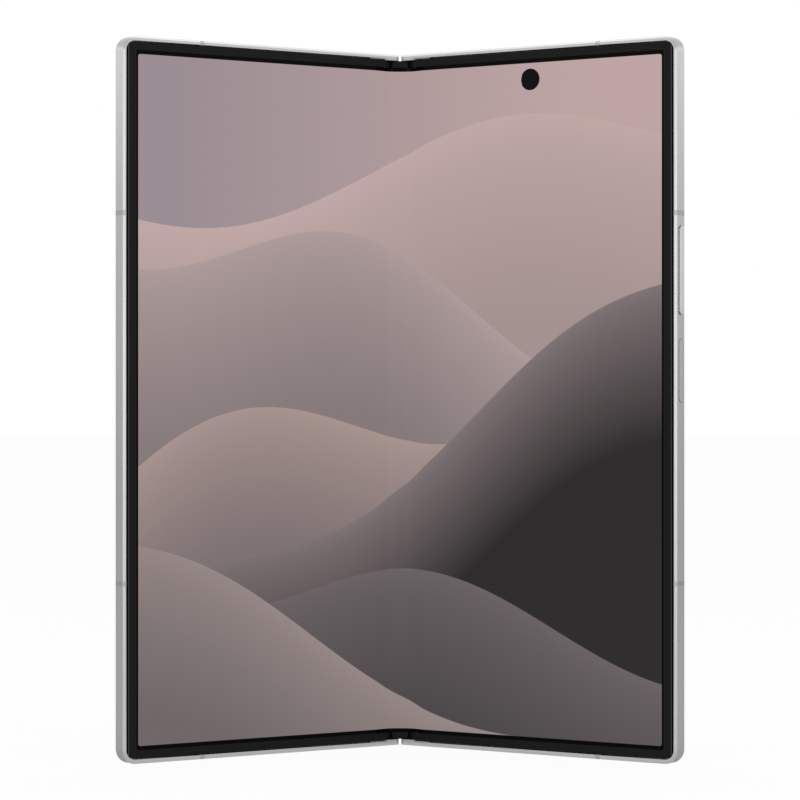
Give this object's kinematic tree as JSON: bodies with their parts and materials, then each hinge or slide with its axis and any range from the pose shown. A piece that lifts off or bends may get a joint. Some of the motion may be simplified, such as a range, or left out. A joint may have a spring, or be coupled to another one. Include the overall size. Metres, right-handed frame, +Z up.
{
  "type": "foldable smartphone",
  "caption": "Book-style folding phone, standing half open: two thin metal halves on a geared spine hinge, one bending screen across both.",
  "frame": {"origin": "on the floor under the middle of the outline, the phone standing on its bottom edge", "axes": "+Z up along the fold, -Y the way the inner screen faces, +X to the right half as the screen is seen"},
  "size_m": [0.124, 0.0418, 0.1584],
  "materials": {
    "frame_aluminium": "bead-blasted, anodised, chamfered edges",
    "key_aluminium": "satin anodised",
    "antenna_plastic": "fine matte, colour-matched",
    "spine_aluminium": "satin anodised",
    "cap_plastic": "matte black",
    "hinge_steel": "fine machined",
    "pin_steel": "polished",
    "bezel_soft": "soft matte black",
    "screen": "glossy lit screen",
    "screen_plate": "satin",
    "flex_film": "polyimide film",
    "battery_wrap": "satin foil wrap",
    "copper_coil": "wound copper",
    "board": "solder-masked board",
    "shield_metal": "plain sheet",
    "back_glass": "frosted, opaque coating behind",
    "cover_screen_glass": "polished, dark screen behind",
    "cover_screen": "unlit panel",
    "camera_metal": "matte",
    "ring_metal": "turned, polished edge",
    "lens_glass": "polished black",
    "camera_plastic": "dark",
    "flash_lens": "cloudy lens",
    "socket_metal": "plain",
    "module_plastic": "matte",
    "motor_metal": "plain",
    "magnet_metal": "nickel plated"
  },
  "bodies": {
    "spine": {"spine_cover": "spine_aluminium", "fold_cap_top": "cap_plastic", "fold_cap_bottom": "cap_plastic", "hinge_base_top": "hinge_steel", "hinge_base_bottom": "hinge_steel", "gear_block_upper": "hinge_steel", "gear_block_lower": "hinge_steel", "gear_shafts": "pin_steel", "centre_plate": "hinge_steel", "spine_screws": "pin_steel", "display_fold": "screen", "fold_flex": "flex_film"},
    "right_half": {"right_frame": "frame_aluminium", "right_antenna_breaks": "antenna_plastic", "right_bezel": "bezel_soft", "right_display": "screen", "right_display_plate": "screen_plate", "right_battery": "battery_wrap", "charging_coil": "copper_coil", "mainboard": "board", "shield_can": "shield_metal", "rear_glass": "back_glass", "camera_island": "camera_metal", "camera_modules": "camera_plastic", "lens_windows": "lens_glass", "lens_rings": "ring_metal", "camera_flash": "flash_lens", "inner_camera": "camera_plastic", "usb_c_port": "socket_metal", "bottom_speaker": "module_plastic", "right_magnets": "magnet_metal", "key_switch_board": "flex_film", "rotator_right_top": "hinge_steel", "rotator_right_bottom": "hinge_steel", "right_hinge_screws": "pin_steel"},
    "left_half": {"left_frame": "frame_aluminium", "left_antenna_breaks": "antenna_plastic", "left_bezel": "bezel_soft", "left_display": "screen", "left_display_plate": "screen_plate", "left_battery": "battery_wrap", "left_board": "board", "cover_panel": "cover_screen", "cover_glass": "cover_screen_glass", "cover_camera": "camera_plastic", "ear_speaker": "module_plastic", "vibration_motor": "motor_metal", "left_magnets": "magnet_metal", "rotator_left_top": "hinge_steel", "rotator_left_bottom": "hinge_steel", "left_hinge_screws": "pin_steel"},
    "sync_arm_right": {"sync_arm_right": "hinge_steel"},
    "sync_arm_left": {"sync_arm_left": "hinge_steel"},
    "idler_right": {"idler_right": "hinge_steel"},
    "idler_left": {"idler_left": "hinge_steel"},
    "volume_key": {"volume_key": "key_aluminium"},
    "side_key": {"side_key": "key_aluminium"},
    "sim_tray": {"sim_tray": "key_aluminium"}
  },
  "joints": [
    {"name": "right_fold", "type": "hinge", "parent": "spine", "child": "right_half", "pos_m": [0.0013, 0.01766, 0], "axis": [0, 0, -1], "range_deg": [-32.6, 57.4], "deforming": ["display_fold", "fold_flex"]},
    {"name": "left_fold", "type": "hinge", "parent": "spine", "child": "left_half", "pos_m": [-0.0013, 0.01766, 0], "axis": [0, 0, 1], "range_deg": [-32.6, 57.4], "deforming": ["display_fold", "fold_flex"]},
    {"name": "sync_arm_right_turn", "type": "hinge", "parent": "spine", "child": "sync_arm_right", "pos_m": [0.00205, 0.01846, 0.0792], "axis": [0, 0, -1], "range_deg": [-32.6, 57.4]},
    {"name": "sync_arm_left_turn", "type": "hinge", "parent": "spine", "child": "sync_arm_left", "pos_m": [-0.00205, 0.01846, 0.0792], "axis": [0, 0, 1], "range_deg": [-32.6, 57.4]},
    {"name": "idler_right_turn", "type": "hinge", "parent": "spine", "child": "idler_right", "pos_m": [0.0007, 0.01884, 0.0792], "axis": [0, 0, 1], "range_deg": [-32.6, 57.4]},
    {"name": "idler_left_turn", "type": "hinge", "parent": "spine", "child": "idler_left", "pos_m": [-0.0007, 0.01884, 0.0792], "axis": [0, 0, -1], "range_deg": [-32.6, 57.4]},
    {"name": "volume_rock", "type": "hinge", "parent": "right_half", "child": "volume_key", "pos_m": [0.05987, -0.01855, 0.10743], "axis": [0.5388, 0.8425, 0], "range_deg": [-1.5, 1.5], "stiffness_Nm_per_rad": 0.3},
    {"name": "side_key_press", "type": "slide", "parent": "right_half", "child": "side_key", "axis": [-0.8425, 0.5388, 0], "range_m": [0, 0.00022], "stiffness_N_per_m": 5000},
    {"name": "sim_tray_pull", "type": "slide", "parent": "left_half", "child": "sim_tray", "axis": [0, 0, 1], "range_m": [0, 0.0145]}
  ],
  "couplings": [
    {"joint": "left_fold", "follows": "right_fold", "ratio": 1},
    {"joint": "sync_arm_right_turn", "follows": "right_fold", "ratio": 1},
    {"joint": "sync_arm_left_turn", "follows": "right_fold", "ratio": 1},
    {"joint": "idler_right_turn", "follows": "right_fold", "ratio": 1},
    {"joint": "idler_left_turn", "follows": "right_fold", "ratio": 1}
  ]
}
